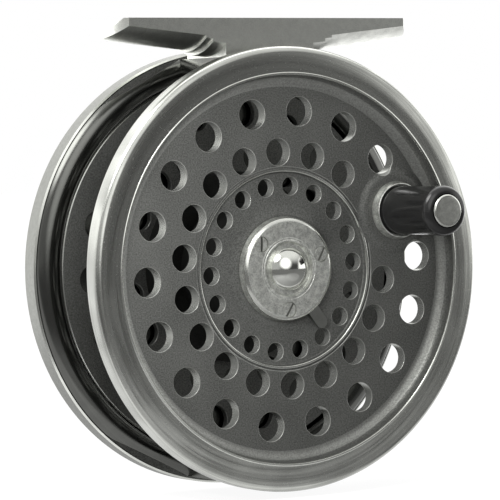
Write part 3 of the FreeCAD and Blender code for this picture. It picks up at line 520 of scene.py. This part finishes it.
def rear_flange():
    """Perforated disc behind the line, with holes behind those of the web's two outer rings."""
    profile = [(20.2, FLANGE_FRONT), (39.75, FLANGE_FRONT), (40.1, 23.2), (40.1, 24.2),
               (39.9, FLANGE_BACK), (20.2, FLANGE_BACK)]
    # The flange's front outer edge takes the light edge metal, partly a painted highlight along it.
    ring = lathe(profile, 256, indices=(PLAIN, BRIGHT, PLAIN, PLAIN, PLAIN, PLAIN))
    rings = [(r, size, first, 18, FLANGE_FRONT) for r, size, first, _, _ in RINGS[:2]]
    ring = combine(ring, drills(rings, back=26.0, chamfer=0.10), "DIFFERENCE")
    piece("spool_back_flange", ring, "spool", (WEB, RIM, EDGE_AND_GLINT, WEB, WEB),
          ("spool_rear_flange",))


# ---------------------------------------------------------------- hub

CAP_SCREWS = ((141, 88), (20, 62), (-90, 58))  # angle round the cap, slot's angle


def latch_room():
    """Cutters behind the cap for the latch's tongue and its pivot."""
    ceiling = -0.42
    tongue = [around(r, LATCH_ANGLE, aside)
              for r, aside in ((4.5, -1.65), (12, -1.65), (12, 3.7), (4.5, 3.7))]
    pivot = [(0, -1.1), (0.7, -1.1), (0.7, ceiling), (1.9, ceiling), (1.9, 1.0), (0, 1.0)]
    return prism(tongue, ceiling, 1.0), lathe(pivot, 32, 0, PIVOT_HEIGHT)


def hub_cap():
    """Cap over the latch, with turned rings round its eye and seats for three screws."""
    eye = [(3.5, -0.89), (5.42, -0.89), (5.58, -1.02), (5.6, -1.5), (5.7, -1.62), (5.86, -1.66)]
    rings = [(6.02, -1.62), (6.1, -1.56), (6.22, -1.56), (6.3, -1.62), (6.46, -1.62),
             (6.56, -1.57), (6.7, -1.585)]
    bevel = [(9.9, -1.57), (10.5, -1.17)]
    back = [(10.87, 0.4), (10.72, CAP_SEAT), (6.3, CAP_SEAT), (6.3, -0.4), (3.5, -0.4)]
    # The cap's bevel takes the light edge metal, partly a painted highlight round its rim.
    profile, numbers = outline((eye + rings + [(9.75, -1.59)], FIRST), (bevel, SECOND),
                               ([(10.62, -1.03)] + back, FIRST))
    cap = lathe(profile, 160, indices=numbers)
    seats = [lathe([(0, -3), (1.95, -3), (1.6, -1.48), (1.6, -0.99), (0, -0.99)], 40,
                   *around(CAP_SCREW_CIRCLE, angle)) for angle, _ in CAP_SCREWS]
    cap = combine(cap, merged(*latch_room(), *seats), "DIFFERENCE")
    piece("hub_disc", cap, "spool", (FINISH["cap_alloy"], EDGE_AND_GLINT), ("hub_cap",))


def screw_head(x, z, front, radius, turn):
    """Slightly domed head with a straight slot turned by an angle."""
    head = lathe([(0, front + 0.5), (0, front - 0.05), (radius * 0.5, front - 0.04),
                  (radius - 0.12, front), (radius, front + 0.12), (radius, front + 0.5)], 40, x, z)
    a = math.radians(turn)
    along, across = Vector((math.cos(a), math.sin(a))), Vector((-math.sin(a), math.cos(a)))
    corners = [Vector((x, z)) + along * u + across * v
               for u, v in ((-3, -0.22), (3, -0.22), (3, 0.22), (-3, 0.22))]
    return combine(head, prism(corners, front - 1, front + 0.38, index=SECOND), "DIFFERENCE")


def cap_screws():
    heads = [screw_head(*around(CAP_SCREW_CIRCLE, angle), -1.52, 1.5, turn)
             for angle, turn in CAP_SCREWS]
    piece("hub_screw_heads", merged(*heads), "spool",
          (FINISH["cap_alloy"], FINISH["spindle_steel"]), ("cap_screws",))


def hub_button():
    """Domed button in the cap's eye: part of a ball above a short bevelled foot."""
    ball, centre = 5.2, 0.741
    profile = [(0.0, -0.85), (0.0, centre - ball)]
    for i in range(1, 19):
        t = math.radians(57.0 * i / 18)
        profile.append((ball * math.sin(t), centre - ball * math.cos(t)))
    profile += [(4.25, -2.02), (4.4, -1.85), (4.4, -0.9)]
    piece("hub_button", lathe(profile, 96), "spool", (FINISH["dome_chrome"],),
          ("hub_dome",))


# ---------------------------------------------------------------- handle


def handle_collar():
    """Bright cup at the foot of the handle."""
    cup = [(1.6, COLLAR_FRONT), (6.0, COLLAR_FRONT), (6.12, -0.72), (6.12, -1.15), (6.0, -1.4),
           (5.78, -2.3), (5.7, -2.55), (5.55, -2.62), (5.42, -2.5), (5.38, -1.5), (1.6, -1.5)]
    piece("handle_collar", lathe(cup, 96, HANDLE.x, HANDLE.z), "spool",
          (FINISH["cap_alloy"],), ("handle_ferrule",))


def handle_barrel():
    """Black grip, a little waisted and rounded at its end."""
    barrel = [(1.65, -1.6), (4.9, -1.6), (5.1, -1.68), (5.2, -1.9)]
    barrel += [(5.2 - 0.15 * math.sin(math.pi * i / 10), -1.9 - 1.56 * i) for i in range(1, 10)]
    barrel += arc(3.55, -17.9, 1.65, 0, -80, 12) + [(3.6, -19.58), (3.52, -19.45)]
    barrel += [(3.52, -18.9), (1.65, -18.9)]
    piece("handle_barrel", lathe(barrel, 96, HANDLE.x, HANDLE.z), "grip",
          (FINISH["grip_black"],), ("handle_grip",))


def handle_rivet():
    """Pin that the grip turns on, with a bright rounded head."""
    # The head's rounded edge takes the light edge metal, partly a painted highlight.
    profile, numbers = outline(
        ([(0, 2.2), (0, -20.0), (1.5, -20.0)], FIRST), (arc(2.95, -19.55, 0.45, -88, 0, 8), SECOND),
        ([(3.4, -19.0), (1.6, -19.0), (1.6, 2.2)], FIRST))
    piece("handle_rivet", lathe(profile, 80, HANDLE.x, HANDLE.z, indices=numbers), "spool",
          (FINISH["plate_alloy"], EDGE_AND_GLINT), ("handle_pin",))


# ---------------------------------------------------------------- frame and foot


def frame_ring():
    """Back plate and shouldered outer ring with its bare band; materials 0 to 2."""
    cast, band, bright = range(3)
    front = [(2.5, PLATE_FRONT), (40.6, PLATE_FRONT), (40.6, 22.6), (40.75, 22.38), (41.2, 22.1),
             (41.8, 21.95)]
    front += arc_through((42.5, 21.9), (45.4, FRAME_STEP), 3.3, 14)
    edge = [(RIM_RADIUS, 24.0), (RIM_RADIUS, 27.85), (45.87, 28.17)]
    back = [(45.55, FRAME_BACK), (40.2, FRAME_BACK), (40.0, 28.2), (39.5, 27.7), (7.7, 27.7),
            (7.5, 27.8), (7.0, FRAME_BACK), (4.5, FRAME_BACK), (2.5, 26.9)]
    # The corner between the step and the band takes the light edge metal, partly a painted highlight along it.
    profile, numbers = outline((front, cast), ([(45.62, FRAME_STEP)], bright), (edge, band),
                               (back, cast))
    return lathe(profile, 288, indices=numbers)


def frame_casting():
    """Ring and plate, cut flat beside the saddle and the bridge, which join it to the front ring."""
    inner = 41.1            # hollow side of saddle and bridge
    step_x, step_z = around(45.4, 130)
    hollow = [(inner * math.sin(t), inner * math.cos(t))
              for t in (math.asin(SADDLE_HALF / inner) * (1 - i / 6) for i in range(13))]
    top = [(-SADDLE_HALF, SADDLE_TOP), (SADDLE_HALF, SADDLE_TOP)]
    saddle = top + hollow
    flat = [(step_x, step_z)] + top + [(-step_x, step_z), (-step_x, 48), (step_x, 48)]
    solids = [prism([(x, side * z) for x, z in saddle], 1.9, 24.2) for side in (1, -1)]
    flats = [prism([(x, side * z) for x, z in flat], 20.9, FRAME_STEP, index=3) for side in (1, -1)]
    casting = combine(frame_ring(), merged(*flats), "DIFFERENCE")
    for solid in solids:
        casting = combine(casting, solid, "UNION")
    front_ring = [(42.4, -0.6), (42.5, -0.7), (44.2, -0.7), (44.3, -0.6), (44.3, 2.6), (42.4, 2.6)]
    casting = combine(casting, lathe(front_ring, 288), "UNION")
    knob_hole = lathe([(0, 20), (2.05, 20), (2.05, 30), (0, 30)], 32, 0, -13.3)
    casting = combine(casting, knob_hole, "DIFFERENCE")
    piece("frame_casting", casting, "frame", (FRAME_ALLOY, BAND, EDGE_AND_GLINT, WEB), ("frame",))


def rod(radius, start, end):
    """Cylinder from start to end."""
    a, b = Vector(start), Vector(end)
    bm = bmesh.new()
    turn = (b - a).to_track_quat("Z", "Y").to_matrix().to_4x4()
    bmesh.ops.create_cone(bm, cap_ends=True, segments=192, radius1=radius, radius2=radius,
                          depth=(b - a).length,
                          matrix=Matrix.Translation((a + b) / 2) @ turn)
    return bm


def foot_plan():
    """Outline of the foot from above, with an arc at each end."""
    reach = math.degrees(math.asin(FOOT_HALF_WIDTH / FOOT_END_ROUND))
    centre = FOOT_HALF_LENGTH - FOOT_END_ROUND
    plan = []
    for side in (1, -1):
        for i in range(25):
            a = math.radians(-reach + 2 * reach * i / 24)
            plan.append((side * (centre + FOOT_END_ROUND * math.cos(a)),
                         FOOT_MIDDLE + side * FOOT_END_ROUND * math.sin(a)))
    return plan


def foot_keel():
    """Round underside of the arms, which thickens in two steps, joined to the centre block."""
    keel = prism([(-FOOT_BLOCK, 4), (FOOT_BLOCK, 4), (FOOT_BLOCK, 21), (-FOOT_BLOCK, 21)],
                 43.5, 53, axis="Z")
    end_height = FOOT_TOP - ARM_DEPTH + KEEL_RADIUS / math.cos(ARM_SLOPE)
    for side in (1, -1):
        for radius, outer in ((KEEL_RADIUS, 45.0), (13.1, 14.2), (13.6, 12.5)):
            ends = [(side * x, FOOT_MIDDLE, end_height - (FOOT_HALF_LENGTH - x) * math.tan(ARM_SLOPE))
                    for x in (outer, 7.0)]
            keel = combine(keel, rod(radius, *ends), "UNION")
    return keel


def foot():
    """Hollow-topped foot with two tapering round-ended arms and a centre block."""
    bar = combine(prism(foot_plan(), SADDLE_TOP, FOOT_TOP, axis="Z"), foot_keel(), "INTERSECT")
    floor_height = FOOT_TOP - TROUGH_DEPTH
    trough = rod(TROUGH_RADIUS, *[(x, FOOT_MIDDLE, floor_height + TROUGH_RADIUS) for x in (-50, 50)])
    bar = combine(bar, trough, "DIFFERENCE")
    for radius, low in ((1.22, 40), (2.32, floor_height - 1.5)):
        drill = merged(*[rod(radius, (x, FOOT_MIDDLE, low), (x, FOOT_MIDDLE, 60))
                         for x in (-FOOT_SCREW_X, FOOT_SCREW_X)])
        bar = combine(bar, drill, "DIFFERENCE")
    bmesh.ops.remove_doubles(bar, verts=bar.verts, dist=0.002)
    bmesh.ops.dissolve_limit(bar, angle_limit=math.radians(0.5), verts=bar.verts, edges=bar.edges,
                             delimit={"MATERIAL"})
    piece("foot_bar", bar, "frame", (FINISH["foot_satin"], EDGE_AND_GLINT), ("foot",), bevel=0.16)


spool_face()
rear_flange()
hub_cap()
cap_screws()
hub_button()
handle_collar()
handle_barrel()
handle_rivet()
frame_casting()
foot()

# ---------------------------------------------------------------- world, floor, lights, camera


class WorldNodes(Nodes):
    """The same short forms for the world's node tree."""

    def __init__(self, world):
        world.use_nodes = True
        self.tree = world.node_tree
        self.tree.nodes.clear()


# (direction towards the light, degrees within which it is full, degrees at which it is gone, strength)
LIGHT_PATCHES = (
    ((-0.30, -0.82, 0.44), 8, 32, 1.7),      # soft box above the camera
    ((0.93, -0.36, 0.05), 14, 33, 1.3),      # to the right
    ((-0.64, -0.10, 0.77), 8, 21, 7.0),      # upper left
    ((-0.95, -0.25, 0.15), 15, 42, 0.40),    # left
    ((0.2, -0.1, 1.0), 20, 65, 0.8),         # overhead
)


def studio_world():
    """White behind the object; dark in front of it, but for soft lights."""
    world = bpy.data.worlds.new("Studio")
    bpy.context.scene.world = world
    n = WorldNodes(world)
    direction = n.add("ShaderNodeTexCoord").outputs["Generated"]

    def cosine(towards):
        node = n.add("ShaderNodeVectorMath", {0: direction, 1: Vector(towards).normalized()},
                     operation="DOT_PRODUCT")
        return node.outputs["Value"]

    total = n.math("ADD", n.ramp(cosine((0, 1, 0)), -0.05, 0.35, 0.0, 1.5), 0.06)
    for towards, inner, outer, strength in LIGHT_PATCHES:
        patch = n.ramp(cosine(towards), math.cos(math.radians(outer)), math.cos(math.radians(inner)),
                       0.0, strength)
        total = n.math("ADD", total, patch)
    tinted = n.add("ShaderNodeVectorMath", {0: (1.0, 1.0, 0.985), "Scale": total}, operation="SCALE")
    studio = n.add("ShaderNodeBackground", {"Color": tinted.outputs[0]})
    white = n.add("ShaderNodeBackground", {"Color": (1, 1, 1, 1)})
    seen = n.add("ShaderNodeLightPath").outputs["Is Camera Ray"]
    blend = n.add("ShaderNodeMixShader", {0: seen, 1: studio.outputs[0], 2: white.outputs[0]})
    n.add("ShaderNodeOutputWorld", {"Surface": blend.outputs[0]})


def floor():
    """Pale floor that is lit under and behind the object and falls off in front of it."""
    low = CAD_LOW.z - 1.5 * MM
    half = 4.0              # metres
    mesh = bpy.data.meshes.new("Floor")
    mesh.from_pydata([(-half, -half, low), (half, -half, low), (half, half, low), (-half, half, low)],
                     [], [(0, 1, 2, 3)])
    plane = add_object("Floor", mesh)
    n = Nodes("floor_white")
    place = n.add("ShaderNodeTexCoord").outputs["Object"]
    y = n.add("ShaderNodeSeparateXYZ", {0: place}).outputs[1]
    pool_centre = (0.030, -0.105, low)
    away = n.add("ShaderNodeVectorMath", {0: place, 1: pool_centre}, operation="DISTANCE")
    pool = n.ramp(away.outputs["Value"], 0.045, 0.075, 0.13, 0.0)
    behind = n.math("ADD", n.ramp(y, -0.024, -0.015, 0.04, 0.60), n.ramp(y, 0.02, 0.20, 0.0, 0.9))
    glow = n.math("MAXIMUM", behind, pool)
    seen = n.add("ShaderNodeLightPath").outputs["Is Camera Ray"]
    glow = n.math("ADD", n.math("MULTIPLY", glow, n.math("SUBTRACT", 1.0, seen)),
                  n.math("MULTIPLY", seen, 0.93))
    mesh.materials.append(n.finish(Base_Color=(0.08, 0.08, 0.08, 1), Roughness=1.0,
                                   Specular_IOR_Level=0.0, Emission_Color=(1, 1, 1, 1),
                                   Emission_Strength=glow))


def side_light():
    """Small soft light near the left of the reel, which shades the matt surfaces across."""
    data = bpy.data.lights.new("Side", "AREA")
    data.shape, data.size, data.energy = "DISK", 0.05, 0.55
    lamp = add_object("Side", data)
    offset = Vector((-70, -65, 25)) * MM
    lamp.matrix_world = (Matrix.Translation(ORIGIN + offset)
                         @ offset.to_track_quat("Z", "Y").to_matrix().to_4x4())
    lamp.visible_camera = False
    lamp.visible_glossy = False


def camera():
    """Long lens from the left of the reel and a little above it, with a slight roll."""
    azimuth, elevation, roll = math.radians(31.15), math.radians(1.86), math.radians(-1.17)
    right = Vector((math.cos(azimuth), -math.sin(azimuth), 0))
    forward = Vector((math.sin(azimuth) * math.cos(elevation), math.cos(azimuth) * math.cos(elevation),
                      -math.sin(elevation)))
    up = right.cross(forward)
    turned_right = right * math.cos(roll) + up * math.sin(roll)
    turned_up = up * math.cos(roll) - right * math.sin(roll)
    data = bpy.data.cameras.new("Camera")
    data.sensor_width = 36.0
    data.lens = 239.7
    data.clip_start, data.clip_end = 0.01, 20.0
    eye = add_object("Camera", data)
    place = ORIGIN + Vector((-361.87, -584.76, 26.39)) * MM
    turn = Matrix((turned_right, turned_up, -forward)).transposed()
    eye.matrix_world = Matrix.Translation(place) @ turn.to_4x4()
    bpy.context.scene.camera = eye


studio_world()
floor()
side_light()
camera()
bpy.context.scene.view_settings.view_transform = "Standard"
